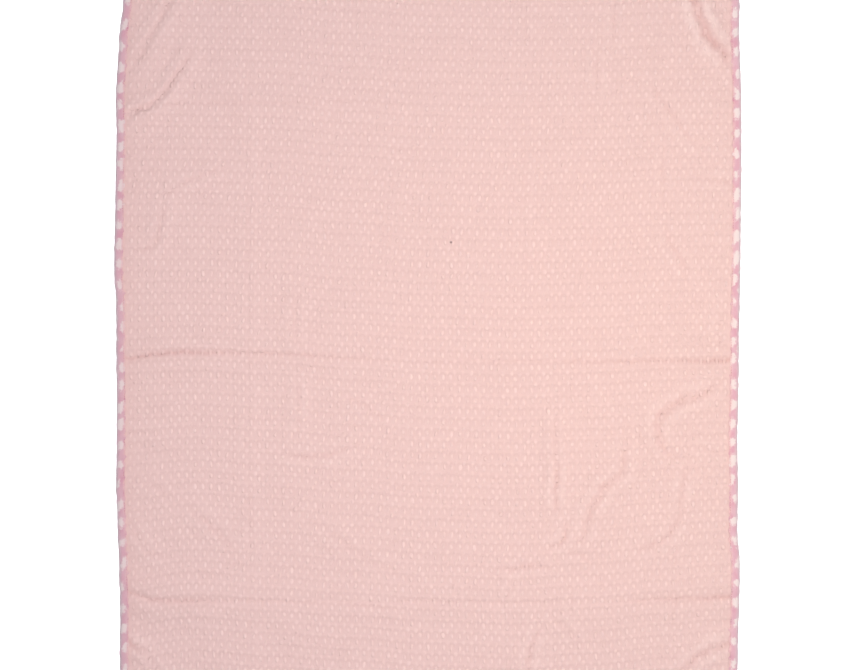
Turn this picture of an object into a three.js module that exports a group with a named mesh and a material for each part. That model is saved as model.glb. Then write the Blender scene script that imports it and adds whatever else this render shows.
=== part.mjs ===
// A pique cot blanket, open and lying flat: one woven panel whose four edges are bound with a
// narrow bias tape. Millimetres, +Z up, underside on Z = 0. The width runs along X and the
// length along Y. It was stored folded in four, so three creases still run across it.
import * as THREE from "three";

// Driving dimensions
const blanketWidth = 800; // over the bindings, at the widest line
const blanketLength = 1200;
const panelThickness = 2.4;
const marginThickness = 1.2; // the panel squeezed flat inside the binding
const bindingWidth = 11.5; // how much of the tape shows on each face
const tapeThickness = 0.8; // the folded tape is two plies thick
const tapeRounding = 0.6; // of the tape's fold, at the blanket's outer edge
const fitGap = 0.3; // between the tape and the panel, and across each mitre
const seamRamp = 4.5; // over which the panel swells from the binding to its full thickness
const evenStrip = 30; // next to each side edge, where the cloth keeps its distance from it

// How far the side edges draw in from the widest line, at each distance Y from the middle
const sideEdges = [
  { y: 600, left: 12.0, right: 4.0 },
  { y: 455, left: 11.4, right: 2.3 },
  { y: 404, left: 6.1, right: 3.1 },
  { y: 334, left: 2.3, right: 0.4 },
  { y: 290, left: 3.2, right: 0.0 },
  { y: 250, left: 2.2, right: 0.0 },
  { y: 200, left: 1.3, right: 0.6 },
  { y: 122, left: 0.0, right: 1.2 },
  { y: 102, left: 0.0, right: 1.6 },
  { y: 73, left: 2.2, right: 2.1 },
  { y: 9, left: 2.9, right: 3.7 },
  { y: -55, left: 3.3, right: 4.1 },
  { y: -106, left: 3.2, right: 5.2 },
  { y: -163, left: 2.4, right: 4.3 },
  { y: -221, left: 4.4, right: 5.0 },
  { y: -265, left: 6.2, right: 2.0 },
  { y: -310, left: 7.8, right: 3.1 },
  { y: -374, left: 7.3, right: 4.8 },
  { y: -600, left: 8.0, right: 5.0 },
];

// Storage creases: soft troughs straight across the cloth, each between two low swells.
// A row gives how far the crease strays from its line and how high its swells stand, and
// linesBelow names the spacing of the mesh lines from there down to the next crease or edge.
const creases = [
  {
    y: 321,
    reach: 26,
    linesBelow: "plain",
    rows: [
      { x: -388, stray: -8, height: 1.6 },
      { x: -309, stray: 3, height: 0.9 },
      { x: -98, stray: 3, height: 0.8 },
      { x: 120, stray: 0, height: 0.4 },
      { x: 388, stray: 0, height: 0.6 },
    ],
  },
  {
    y: 0,
    reach: 34,
    linesBelow: "wrinkled",
    rows: [
      { x: -388, stray: -1, height: 2.4 },
      { x: -322, stray: 6, height: 3.2 },
      { x: -226, stray: 5, height: 2.0 },
      { x: 4, stray: -5, height: 1.2 },
      { x: 150, stray: -5, height: 1.2 },
      { x: 300, stray: -5, height: 1.7 },
      { x: 388, stray: -5, height: 2.6 },
    ],
  },
  {
    y: -307,
    reach: 34,
    linesBelow: "plain",
    rows: [
      { x: -388, stray: 7, height: 3.0 },
      { x: -353, stray: -3, height: 3.2 },
      { x: -226, stray: -3, height: 1.6 },
      { x: 220, stray: -5, height: 1.3 },
      { x: 335, stray: 0, height: 2.0 },
      { x: 388, stray: 1, height: 2.4 },
    ],
  },
];

// Soft ridges left by handling: the height of each at its middle, how far it reaches to each
// side, and the points it runs through
const ridges = [
  {
    height: 3.2,
    reach: 26,
    path: [
      { x: 322, y: 500 },
      { x: 345, y: 452 },
      { x: 360, y: 410 },
      { x: 388, y: 372 },
    ],
  },
  {
    height: 2.2,
    reach: 24,
    path: [
      { x: -388, y: 296 },
      { x: -344, y: 322 },
      { x: -318, y: 365 },
      { x: -312, y: 410 },
    ],
  },
  {
    height: 2.0,
    reach: 24,
    path: [
      { x: -372, y: 345 },
      { x: -346, y: 400 },
      { x: -322, y: 462 },
    ],
  },
  {
    height: 2.8,
    reach: 30,
    path: [
      { x: 388, y: -44 },
      { x: 330, y: -64 },
      { x: 304, y: -84 },
      { x: 297, y: -106 },
      { x: 318, y: -142 },
    ],
  },
  {
    height: 2.4,
    reach: 30,
    path: [
      { x: 262, y: -128 },
      { x: 230, y: -170 },
      { x: 210, y: -222 },
      { x: 168, y: -252 },
      { x: 93, y: -272 },
    ],
  },
  {
    height: 1.4,
    reach: 22,
    path: [
      { x: 166, y: -70 },
      { x: 166, y: -200 },
    ],
  },
];

// Spacing of the mesh lines: close to each crease, and between creases
const linesByCrease = [5, 11, 20];
const lineSpacing = { plain: 40, wrinkled: 24 };
const wrinkledFromX = 130; // to the right of this line the ridges lie close together
const ridgeTip = 0.04; // share of a ridge's path, at each end, that keeps one low height

const halfWidth = blanketWidth / 2;
const halfLength = blanketLength / 2;
const panelInset = tapeThickness + fitGap; // from the outer edge to the panel's own edge
const marginFloor = tapeThickness + fitGap; // height of the squeezed margin's underside
const marginTop = marginFloor + marginThickness;
const tapeTop = marginTop + fitGap + tapeThickness;
const mitreGap = fitGap / Math.SQRT2;

const clamp = THREE.MathUtils.clamp;
const lerp = THREE.MathUtils.lerp;

// The value of one column of a table at a place along it, eased from row to row
function alongTable(table, axis, place, column) {
  const rising = [...table].sort((a, b) => a[axis] - b[axis]);
  const next = rising.findIndex((row) => row[axis] >= place);
  if (next === 0) return rising[0][column];
  if (next === -1) return rising[rising.length - 1][column];
  const from = rising[next - 1];
  const to = rising[next];
  const share = THREE.MathUtils.smoothstep(place, from[axis], to[axis]);
  return lerp(from[column], to[column], share);
}

// Distance from a point to a path, and how far along the path (0 to 1) the nearest place is
function nearestOnPath(x, y, path) {
  const lengths = path.slice(1).map((p, i) => Math.hypot(p.x - path[i].x, p.y - path[i].y));
  const total = lengths.reduce((sum, length) => sum + length, 0);
  let best = { distance: Infinity, along: 0 };
  let travelled = 0;
  lengths.forEach((length, i) => {
    const from = path[i];
    const to = path[i + 1];
    const dot = (x - from.x) * (to.x - from.x) + (y - from.y) * (to.y - from.y);
    const share = clamp(dot / length ** 2, 0, 1);
    const distance = Math.hypot(x - lerp(from.x, to.x, share), y - lerp(from.y, to.y, share));
    if (distance < best.distance)
      best = { distance, along: (travelled + share * length) / total };
    travelled += length;
  });
  return best;
}

// Both profiles are 1 at their highest and meet the flat cloth smoothly at share 1.
function swellProfile(share) {
  const scaleToOne = 27 / 4;
  return share < 1 ? scaleToOne * share * (1 - share) ** 2 : 0;
}

function ridgeProfile(share) {
  return share < 1 ? (1 - share ** 2) ** 2 : 0;
}

// How far the cloth lifts off the surface under it. The bound margin is stiff, so it keeps
// the height that the cloth has at the seam.
function lift(flatX, flatY) {
  const x = clamp(flatX, bindingWidth - halfWidth, halfWidth - bindingWidth);
  const y = clamp(flatY, bindingWidth - halfLength, halfLength - bindingWidth);
  let height = 0;
  for (const crease of creases)
    height +=
      alongTable(crease.rows, "x", x, "height") *
      swellProfile(Math.abs(y - crease.y) / crease.reach);
  for (const ridge of ridges) {
    const { distance, along } = nearestOnPath(x, y, ridge.path);
    const swell = Math.sqrt(Math.sin(Math.PI * clamp(along, ridgeTip, 1 - ridgeTip)));
    height += ridge.height * swell * ridgeProfile(distance / ridge.reach);
  }
  return height;
}

// How far a crosswise line strays at a point: each crease's own stray, shared out between
// the creases and fading to nothing at the two ends
function stray(flatX, flatY) {
  const x = clamp(flatX, bindingWidth - halfWidth, halfWidth - bindingWidth);
  const knots = [
    { y: halfLength - evenStrip, stray: 0 },
    ...creases.map((crease) => ({
      y: crease.y,
      stray: alongTable(crease.rows, "x", x, "stray"),
    })),
    { y: evenStrip - halfLength, stray: 0 },
  ];
  return alongTable(knots, "y", flatY, "stray");
}

// Takes a point of the cut cloth, a plain rectangle, to where it lies
function lay(flatX, flatY, height) {
  const y = flatY + stray(flatX, flatY);
  const share = clamp((flatX + halfWidth - evenStrip) / (blanketWidth - 2 * evenStrip), 0, 1);
  const inset = lerp(
    alongTable(sideEdges, "y", y, "left"),
    -alongTable(sideEdges, "y", y, "right"),
    share,
  );
  return new THREE.Vector3(flatX + inset, y, height + lift(flatX, flatY));
}

// Lines that divide the stretch between two places into even steps of about a spacing
function between(from, to, spacing) {
  const steps = Math.max(1, Math.round(Math.abs(to - from) / spacing));
  return Array.from({ length: steps - 1 }, (_, i) => lerp(from, to, (i + 1) / steps));
}

// Lines near one end of the cloth, from its edge inwards
function marginLines(edge, inwards) {
  return [panelInset, bindingWidth, bindingWidth + seamRamp, evenStrip].map(
    (distance) => edge + inwards * distance,
  );
}

function rowLines() {
  const lines = [...marginLines(-halfLength, 1)];
  for (const crease of [...creases].reverse()) {
    const last = lines[lines.length - 1];
    const near = [...linesByCrease, crease.reach];
    lines.push(...between(last, crease.y - crease.reach, lineSpacing[crease.linesBelow]));
    lines.push(...[...near].reverse().map((d) => crease.y - d));
    lines.push(crease.y);
    lines.push(...near.map((d) => crease.y + d));
  }
  const last = lines[lines.length - 1];
  const end = marginLines(halfLength, -1).reverse();
  return [...lines, ...between(last, end[0], lineSpacing.plain), ...end];
}

function columnLines() {
  const start = marginLines(-halfWidth, 1);
  const end = marginLines(halfWidth, -1).reverse();
  return [
    ...start,
    ...between(start[start.length - 1], wrinkledFromX, lineSpacing.plain),
    wrinkledFromX,
    ...between(wrinkledFromX, end[0], lineSpacing.wrinkled),
    ...end,
  ];
}

const rows = rowLines();
const columns = columnLines();

function geometryFrom(points, triangles) {
  const geometry = new THREE.BufferGeometry().setFromPoints(points);
  geometry.setIndex(triangles.flat());
  geometry.computeVertexNormals();
  return geometry;
}

// The panel's underside and upper face at a point of the cut cloth
function panelFaces(flatX, flatY) {
  const toEdge = Math.min(halfWidth - Math.abs(flatX), halfLength - Math.abs(flatY));
  const bound = toEdge < bindingWidth + seamRamp / 2;
  return bound ? [marginFloor, marginTop] : [0, panelThickness];
}

// One sheet: a grid of points above, the same grid below, and a wall round the rim
function panelGeometry() {
  const across = columns.length;
  const count = across * rows.length;
  const points = [1, 0].flatMap((face) =>
    rows.flatMap((y) => columns.map((x) => lay(x, y, panelFaces(x, y)[face]))),
  );
  const triangles = [];
  for (let row = 0; row < rows.length - 1; row++)
    for (let column = 0; column < across - 1; column++) {
      const a = row * across + column;
      const b = a + 1;
      const c = a + across;
      const d = c + 1;
      triangles.push([a, b, d], [a, d, c]);
      triangles.push([count + a, count + d, count + b], [count + a, count + c, count + d]);
    }
  const rim = [
    ...columns.map((_, i) => i),
    ...rows.slice(1).map((_, i) => (i + 2) * across - 1),
    ...columns.slice(1).map((_, i) => count - 2 - i),
    ...rows.slice(1, -1).map((_, i) => (rows.length - 2 - i) * across),
  ];
  rim.forEach((from, i) => {
    const to = rim[(i + 1) % rim.length];
    triangles.push([from, count + from, count + to], [from, count + to, to]);
  });
  return geometryFrom(points, triangles);
}

// Section of the folded tape: distance inwards from the blanket's edge, and height
const tapeSection = [
  { inwards: tapeRounding, height: 0 },
  { inwards: 0, height: tapeRounding },
  { inwards: 0, height: tapeTop - tapeRounding },
  { inwards: tapeRounding, height: tapeTop },
  { inwards: bindingWidth, height: tapeTop },
  { inwards: bindingWidth, height: tapeTop - tapeThickness },
  { inwards: tapeThickness, height: tapeTop - tapeThickness },
  { inwards: tapeThickness, height: tapeThickness },
  { inwards: bindingWidth, height: tapeThickness },
  { inwards: bindingWidth, height: 0 },
];

// A strip of tape along one edge. The four strips run round the blanket one after another.
// Each lies through the panel's mesh lines and ends in a mitre.
function bindingGeometry(lines, halfRun, toFlat) {
  const inner = lines.filter((line) => Math.abs(line) < halfRun - bindingWidth - mitreGap);
  const stations = [-halfRun, ...inner, halfRun].map((line) => (inwards) => {
    const atMitre = Math.abs(line) === halfRun;
    return atMitre ? line - Math.sign(line) * (inwards + mitreGap) : line;
  });
  const points = stations.flatMap((alongAt) =>
    tapeSection.map(({ inwards, height }) => {
      const [x, y] = toFlat(inwards, alongAt(inwards));
      return lay(x, y, height);
    }),
  );
  const around = tapeSection.length;
  const triangles = [];
  for (let station = 0; station < stations.length - 1; station++)
    for (let side = 0; side < around; side++) {
      const a = station * around + side;
      const b = station * around + ((side + 1) % around);
      triangles.push([a, b, b + around], [a, b + around, a + around]);
    }
  const outline = tapeSection.map((p) => new THREE.Vector2(p.inwards, p.height));
  const last = (stations.length - 1) * around;
  for (const [a, b, c] of THREE.ShapeUtils.triangulateShape(outline, []))
    triangles.push([a, b, c], [last + a, last + c, last + b]);
  return geometryFrom(points, triangles);
}

const finishes = {
  pique: { color: 0xf4cfc8, roughness: 0.95, metalness: 0 },
  tape: { color: 0xe8b3c4, roughness: 0.85, metalness: 0 },
};

function piece(name, finish, geometry) {
  const mesh = new THREE.Mesh(geometry, new THREE.MeshStandardMaterial(finish));
  mesh.name = name;
  return mesh;
}

const backwards = (lines) => lines.map((line) => -line).reverse();
const tapes = [
  {
    name: "binding_left",
    lines: rows,
    halfRun: halfLength,
    toFlat: (inwards, along) => [inwards - halfWidth, along],
  },
  {
    name: "binding_right",
    lines: backwards(rows),
    halfRun: halfLength,
    toFlat: (inwards, along) => [halfWidth - inwards, -along],
  },
  {
    name: "binding_top",
    lines: columns,
    halfRun: halfWidth,
    toFlat: (inwards, along) => [along, halfLength - inwards],
  },
  {
    name: "binding_bottom",
    lines: backwards(columns),
    halfRun: halfWidth,
    toFlat: (inwards, along) => [-along, inwards - halfLength],
  },
];

const group = new THREE.Group();
group.add(piece("panel", finishes.pique, panelGeometry()));
for (const { name, lines, halfRun, toFlat } of tapes)
  group.add(piece(name, finishes.tape, bindingGeometry(lines, halfRun, toFlat)));

export default group;
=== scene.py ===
import math
import bpy
import mathutils
import numpy as np
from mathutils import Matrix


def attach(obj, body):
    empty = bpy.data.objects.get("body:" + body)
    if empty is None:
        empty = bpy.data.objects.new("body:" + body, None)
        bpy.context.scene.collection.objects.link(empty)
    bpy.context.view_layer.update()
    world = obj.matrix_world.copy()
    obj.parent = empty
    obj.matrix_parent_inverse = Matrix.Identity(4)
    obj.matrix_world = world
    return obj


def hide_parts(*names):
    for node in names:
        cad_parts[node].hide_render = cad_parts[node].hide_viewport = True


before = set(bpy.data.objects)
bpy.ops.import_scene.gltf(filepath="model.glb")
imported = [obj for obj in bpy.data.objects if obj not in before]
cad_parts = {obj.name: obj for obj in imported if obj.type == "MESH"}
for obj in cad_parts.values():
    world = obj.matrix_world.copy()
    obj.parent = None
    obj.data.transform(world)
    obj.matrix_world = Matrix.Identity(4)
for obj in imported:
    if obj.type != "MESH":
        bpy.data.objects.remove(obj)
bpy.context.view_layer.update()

# An open pique cot blanket lying flat, its edges bound with spotted bias tape.
# Sizes in the dictionaries are millimetres; meshes are made in metres.
mm = 0.001

blanket = {
    "width": 800,
    "length": 1200,
    "boundMargin": 11.5,      # what the tape covers on each face
    "evenStrip": 30,          # by each side edge, where the cloth keeps its distance from it
    "ground": 1.7,            # thickness of the weave between its tufts
    "marginFloor": 1.1,       # the tape's lower leg lies under the margin
    "marginTop": 1.8,
    "panelInset": 2.1,        # from the outer edge to the panel's own cut edge
    "seamRamp": 4.5,
}

# How far the side edges draw in, at each distance up from the middle: (up, left, right)
sideEdges = [
    (-600, 8.0, 5.0), (-374, 7.3, 4.8), (-310, 7.8, 3.1), (-265, 6.2, 2.0), (-221, 4.4, 5.0),
    (-163, 2.4, 4.3), (-106, 3.2, 5.2), (-55, 3.3, 4.1), (9, 2.9, 3.7), (73, 2.2, 2.1),
    (102, 0.0, 1.6), (122, 0.0, 1.2), (200, 1.3, 0.6), (250, 2.2, 0.0), (290, 3.2, 0.0),
    (334, 2.3, 0.4), (404, 6.1, 3.1), (455, 11.4, 2.3), (600, 12.0, 4.0),
]

# Storage creases across the cloth. Rows: (across, how far it strays, height of its swells,
# how dark the painted shade along its line is)
creases = [
    {"up": -307, "reach": 34, "rows": [
        (-388, 7, 3.0, 0.6), (-353, -3, 3.2, 0.5), (-226, -3, 1.6, 0.0), (220, -5, 1.3, 0.0), (335, 0, 2.0, 0.45),
        (388, 1, 2.4, 0.85)]},
    {"up": 0, "reach": 34, "rows": [
        (-388, -1, 2.4, 1.0), (-322, 6, 3.2, 0.95), (-226, 5, 2.0, 0.2), (4, -5, 1.2, 0.0), (150, -5, 1.2, 0.2),
        (300, -5, 1.7, 0.35), (388, -5, 2.6, 0.95)]},
    {"up": 321, "reach": 26, "rows": [
        (-388, -8, 1.6, 0.2), (-309, 3, 0.9, 0.2), (-180, 3, 0.8, 0.2), (-98, 3, 0.8, 0.0), (120, 0, 0.4, 0.0),
        (388, 0, 0.6, 0.0)]},
]

# Soft ridges left by handling, each along the points it runs through
ridges = [
    {"height": 3.2, "reach": 26, "path": [(322, 500), (345, 452), (360, 410), (388, 372)]},
    {"height": 2.2, "reach": 24, "path": [(-388, 296), (-344, 322), (-318, 365), (-312, 410)]},
    {"height": 2.0, "reach": 24, "path": [(-372, 345), (-346, 400), (-322, 462)]},
    {"height": 2.8, "reach": 30, "path": [(388, -44), (330, -64), (304, -84), (297, -106), (318, -142)]},
    {"height": 2.4, "reach": 30, "path": [(262, -128), (230, -170), (210, -222), (168, -252), (93, -272)]},
    {"height": 1.4, "reach": 22, "path": [(166, -70), (166, -200)]},
]

# Sharp fold lines with a soft swell on both sides: height of the swells, their reach, how dark the
# painted shade along the line is, and the places it runs through as the cloth lies
foldLines = [
    # upper right corner and right side
    (3.0, 30, 1.2, [(322, 505), (332, 478), (338, 460), (344, 441), (349, 424), (356, 410), (365, 398), (376, 389),
                    (380, 378), (380, 362)]),
    (1.0, 20, 0.35, [(214, 390), (215, 362), (213, 338)]),
    (0.8, 20, 0.3, [(237, 455), (237, 425), (236, 398)]),
    (0.6, 20, 0.2, [(124, 436), (124, 404)]),
    (1.3, 26, 0.25, [(282, 350), (292, 334), (302, 324), (311, 310), (320, 295), (332, 280), (348, 268)]),
    (1.2, 20, 0.35, [(350, 227), (362, 225), (376, 224), (390, 218), (402, 204)]),
    (0.7, 20, 0.2, [(300, 268), (299, 230), (300, 190)]),
    (1.5, 22, 0.3, [(300, 176), (306, 150), (314, 136), (324, 120), (329, 106), (328, 90)]),
    (1.2, 20, 0.2, [(377, 58), (370, 36), (373, 18), (380, 8)]),
    (0.5, 22, 0.1, [(124, 280), (123, 180), (125, 80)]),
    # right side under the middle crease
    (2.2, 28, 0.42, [(378, -31), (362, -38), (352, -47), (338, -50), (325, -53), (316, -60), (309, -64),
                     (299, -70), (294, -78), (292, -92), (294, -106), (302, -118), (318, -128)]),
    (1.0, 20, 0.25, [(332, -116), (352, -118), (388, -124)]),
    (2.2, 26, 0.38, [(256, -104), (250, -122), (248, -142), (238, -156), (225, -163), (218, -180), (208, -190),
                     (204, -206), (199, -224), (186, -242)]),
    (1.5, 22, 0.4, [(332, -140), (327, -158), (321, -178), (319, -196)]),
    (1.5, 24, 0.32, [(332, -188), (319, -204), (312, -216), (306, -228), (290, -238), (264, -249)]),
    (1.3, 20, 0.2, [(163, -58), (163, -100), (163, -156)]),
    (1.7, 20, 0.65, [(164, -132), (163, -164), (164, -200)]),
    (1.6, 18, 0.45, [(176, -212), (174, -228), (166, -239), (148, -243)]),
    (0.8, 18, 0.25, [(170, -246), (188, -252), (210, -262)]),
    (1.6, 20, 0.3, [(84, -270), (104, -269), (124, -266), (142, -265), (158, -269)]),
    (1.0, 16, 0.35, [(94, -314), (102, -300), (108, -284)]),
    # under the lower crease
    (1.5, 20, 0.25, [(156, -328), (167, -338), (178, -348), (192, -362)]),
    (1.7, 22, 0.42, [(146, -342), (138, -354), (131, -370), (129, -388), (128, -420), (132, -446)]),
    (1.0, 18, 0.2, [(180, -290), (182, -330)]),
    (0.8, 22, 0.15, [(313, -300), (313, -322), (311, -350)]),
    (2.2, 26, 0.6, [(318, -404), (332, -392), (346, -380), (360, -374), (376, -368), (404, -356)]),
    (1.0, 20, 0.1, [(-196, -350), (-170, -352), (-146, -364)]),
    (0.8, 18, 0.2, [(-116, -312), (-80, -315), (-36, -320)]),
    (1.0, 20, 0.1, [(-320, -322), (-300, -330), (-266, -340)]),
    (1.9, 22, 0.9, [(-410, -352), (-386, -361), (-370, -371), (-348, -378)]),
    (1.3, 20, 0.35, [(-378, -370), (-362, -380), (-350, -392), (-340, -412)]),
    # upper left corner
    (1.5, 26, 0.28, [(-316, 500), (-323, 466), (-331, 448), (-339, 434), (-347, 420), (-354, 408), (-362, 394),
                     (-370, 380), (-386, 358)]),
    (1.5, 24, 0.3, [(-298, 400), (-303, 386), (-315, 368), (-326, 352), (-338, 335), (-350, 324), (-362, 318),
                    (-376, 309), (-390, 294)]),
    (0.8, 20, 0.4, [(-342, 330), (-356, 320), (-368, 316), (-380, 306), (-400, 290)]),
    (1.1, 20, 0.25, [(-344, 206), (-330, 211), (-310, 222), (-284, 232), (-252, 243)]),
    (1.3, 24, 0.3, [(-334, 208), (-340, 176), (-344, 150), (-354, 140), (-372, 136), (-404, 132)]),
    # left side and middle, about the middle crease
    (1.4, 22, 0.15, [(-170, 110), (-168, 66), (-170, 40), (-168, 22), (-160, 8), (-144, 1)]),
    (1.3, 18, 0.35, [(-166, -14), (-166, -50), (-167, -98)]),
    (0.9, 20, 0.12, [(-228, 500), (-229, 300), (-229, 130), (-229, 0), (-229, -160), (-228, -440)]),
    (1.2, 20, 0.2, [(-404, -96), (-364, -98), (-336, -97)]),
    (0.9, 24, 0.2, [(-114, -42), (-84, -60), (-54, -78)]),
    (1.3, 24, 0.3, [(-192, -118), (-176, -124), (-158, -126), (-136, -125), (-112, -120), (-84, -110)]),
    (1.2, 22, 0.2, [(-404, -158), (-364, -160), (-348, -164), (-334, -174), (-322, -188)]),
    (1.3, 22, 0.3, [(-384, -206), (-374, -220), (-362, -240), (-350, -252), (-326, -257)]),
    (1.3, 24, 0.25, [(-308, -186), (-290, -203), (-275, -216), (-262, -230), (-250, -246)]),
    (0.9, 26, 0.1, [(-176, -194), (-154, -207), (-120, -226), (-80, -258), (-44, -274), (0, -292)]),
]

ridgeTip = 0.04                            # share of a ridge's path, at each end, that keeps one height
foldCut = {"share": 0.8, "reach": 6}       # how a fold line flattens the ridge that it runs along

halfWidth = blanket["width"] / 2
halfLength = blanket["length"] / 2


def smoothShare(share):
    # a share from 0 to 1, eased in and out
    return share * share * (3 - 2 * share)


def swellBeside(far, reach):
    # the swell beside a line: 0 on the line, 1 at its top, 0 again at its reach
    share = np.minimum(far / reach, 1)
    return 27 / 4 * share * (1 - share) ** 2


def endsEased(along):
    # 1 in the middle of a path, 0 at its ends
    return np.sqrt(np.abs(np.sin(np.pi * along)))


def eased(table, place, column):
    # a column of a table at a place along it, eased from row to row
    rows = np.array(table, float)
    place = np.clip(place, rows[0, 0], rows[-1, 0])
    upper = np.clip(np.searchsorted(rows[:, 0], place), 1, len(rows) - 1)
    low, high = rows[upper - 1], rows[upper]
    share = smoothShare((place - low[..., 0]) / (high[..., 0] - low[..., 0]))
    return low[..., column] + (high[..., column] - low[..., column]) * share


def smoothPath(points, steps=10):
    # a curve through the points, so that a ridge bends without corners
    p = np.array([points[0], *points, points[-1]], float)
    out = []
    for i in range(1, len(p) - 2):
        for t in np.arange(steps) / steps:
            a, b, c, d = p[i - 1], p[i], p[i + 1], p[i + 2]
            out.append(0.5 * (2 * b + (c - a) * t + (2 * a - 5 * b + 4 * c - d) * t * t
                              + (3 * b - a - 3 * c + d) * t ** 3))
    return np.array([*out, p[-2]])


def nearestOnPath(x, y, path):
    # distance to a path and how far along it, 0 to 1, the nearest place is
    lengths = np.hypot(*np.diff(path, axis=0).T)
    best = np.full(np.shape(x), np.inf)
    along = np.zeros(np.shape(x))
    travelled = 0
    for start, end, length in zip(path[:-1], path[1:], lengths):
        dot = (x - start[0]) * (end[0] - start[0]) + (y - start[1]) * (end[1] - start[1])
        share = np.clip(dot / length ** 2, 0, 1)
        far = np.hypot(x - start[0] - share * (end[0] - start[0]), y - start[1] - share * (end[1] - start[1]))
        nearer = far < best
        best = np.where(nearer, far, best)
        along = np.where(nearer, (travelled + share * length) / lengths.sum(), along)
        travelled += length
    return best, along


for ridge in ridges:
    ridge["curve"] = smoothPath(ridge["path"])
foldCurves = []     # filled below, once the way from laid to cut places is known


def atSeam(flatX, flatY):
    # the bound margin keeps the height and line that the cloth has at the seam
    bound = blanket["boundMargin"]
    return (np.clip(flatX, bound - halfWidth, halfWidth - bound),
            np.clip(flatY, bound - halfLength, halfLength - bound))


def lift(flatX, flatY):
    x, y = atSeam(flatX, flatY)
    height = np.zeros(np.shape(x))
    for crease in creases:
        height += eased(crease["rows"], x, 2) * swellBeside(np.abs(y - crease["up"]), crease["reach"])
    soft, sharp, cut = 0, 0, 1
    for ridge in ridges:
        far, along = nearestOnPath(x, y, ridge["curve"])
        share = np.minimum(far / ridge["reach"], 1)
        soft = soft + ridge["height"] * endsEased(np.clip(along, ridgeTip, 1 - ridgeTip)) * (1 - share ** 2) ** 2
    for (rise, reach, _, _), curve in zip(foldLines, foldCurves):
        far, along = nearestOnPath(x, y, curve)
        taper = endsEased(along)
        sharp = sharp + rise * taper * swellBeside(far, reach)
        cut = cut * (1 - foldCut["share"] * taper * np.exp(-(far / foldCut["reach"]) ** 2))
    return height + soft * cut + sharp


def stray(flatX, flatY):
    x, _ = atSeam(flatX, flatY)
    end = halfLength - blanket["evenStrip"]
    ups = np.array([-end, *(crease["up"] for crease in creases), end], float)
    strays = np.stack([0 * x, *(eased(crease["rows"], x, 1) for crease in creases), 0 * x])
    place = np.clip(flatY, -end, end)
    upper = np.clip(np.searchsorted(ups, place), 1, len(ups) - 1)
    share = smoothShare((place - ups[upper - 1]) / (ups[upper] - ups[upper - 1]))
    low = np.take_along_axis(strays, (upper - 1)[None], 0)[0]
    high = np.take_along_axis(strays, upper[None], 0)[0]
    return low + (high - low) * share


def inset(flatX, laidY):
    strip = blanket["evenStrip"]
    share = np.clip((flatX + halfWidth - strip) / (blanket["width"] - 2 * strip), 0, 1)
    return eased(sideEdges, laidY, 1) * (1 - share) - eased(sideEdges, laidY, 2) * share


def lay(flatX, flatY, height):
    # takes points of the cut cloth, a plain rectangle, to where they lie
    y = flatY + stray(flatX, flatY)
    return np.stack([flatX + inset(flatX, y), y, height + lift(flatX, flatY)], -1)


def cutFrom(laidX, laidY):
    # the reverse of lay: where on the cut cloth a laid point belongs
    x, y = np.array(laidX, float), np.array(laidY, float)
    for _ in range(4):
        x, y = laidX - inset(x, laidY), laidY - stray(x, y)
    return x, y


# Painted shade in the folds, creases and by the left seam, and painted light on the folds' flanks
foldShade = {
    "width": 2.2,              # of a fold's painted shade line, where its reach is 20
    "widening": 0.25,          # for each millimetre of reach over that
    "creaseWidth": 2.4,
    "lit": 0.4,                # painted light: how much its flanks brighten, for how dark its shade is
    "litPlace": 0.42,          # of the reach
    "litWidth": 0.22,
    "patchy": (0.85, 0.35),    # how a line comes and goes: middle and swing
    "patches": (5.1, 4.3),     # and how quickly, across and up
    "unsteady": 1.2,
    "creaseWaves": (7.3, 3.1),
    "seamShade": 0.24,           # painted shade: the cloth is dimmer by the left seam, turned from the light
    "seamPlace": 12,           # from the outer edge
    "seamReach": 18,
    "seed": 17,
}
foldDraw = np.random.RandomState(foldShade["seed"])
for _, _, _, path in foldLines:
    bends = smoothPath(path, 4)
    foldCurves.append(np.stack(cutFrom(*bends.T), -1) + foldDraw.normal(0, foldShade["unsteady"], bends.shape))


def shadeOf(flatX, flatY):
    # painted shade, dark and rosy, down in the folds, 0 to about 1, and below 0 painted light on a lit flank
    x, y = atSeam(np.array(flatX, float), np.array(flatY, float))
    shade = foldShade["seamShade"] * np.exp(-(x + halfWidth - foldShade["seamPlace"]) / foldShade["seamReach"])
    flank = np.zeros(x.shape)
    middle, swing = foldShade["patchy"]
    long, short = foldShade["creaseWaves"]
    unsteady = 0.7 * foldShade["unsteady"] * (np.sin(x / long) + np.sin(x / short + 2))
    long, short = foldShade["patches"]
    for crease in creases:
        far = (y - crease["up"] - unsteady) / foldShade["creaseWidth"]
        shade = np.maximum(shade, eased(crease["rows"], x, 3) * np.exp(-far ** 2))
    for (_, reach, dark, _), curve in zip(foldLines, foldCurves):
        low, high = curve.min(0) - reach, curve.max(0) + reach
        near = (x > low[0]) & (x < high[0]) & (y > low[1]) & (y < high[1])
        if near.any():
            far, along = nearestOnPath(x[near], y[near], curve)
            patches = middle + swing * np.sin(x[near] / long + 2 * np.sin(y[near] / short))
            taper = dark * endsEased(along) * patches
            width = foldShade["width"] + foldShade["widening"] * (reach - 20)
            shade[near] = np.maximum(shade[near], taper * np.exp(-(far / width) ** 2))
            beside = (far - foldShade["litPlace"] * reach) / (foldShade["litWidth"] * reach)
            flank[near] = np.maximum(flank[near], foldShade["lit"] * taper * np.exp(-beside ** 2))
    return shade - flank


def keepValues(mesh, key, values):
    # a value at each point of a mesh, for a material or a node tree to read
    store = mesh.attributes.new(key, "FLOAT", "POINT")
    store.data.foreach_set("value", np.asarray(values, np.float32).ravel())


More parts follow.
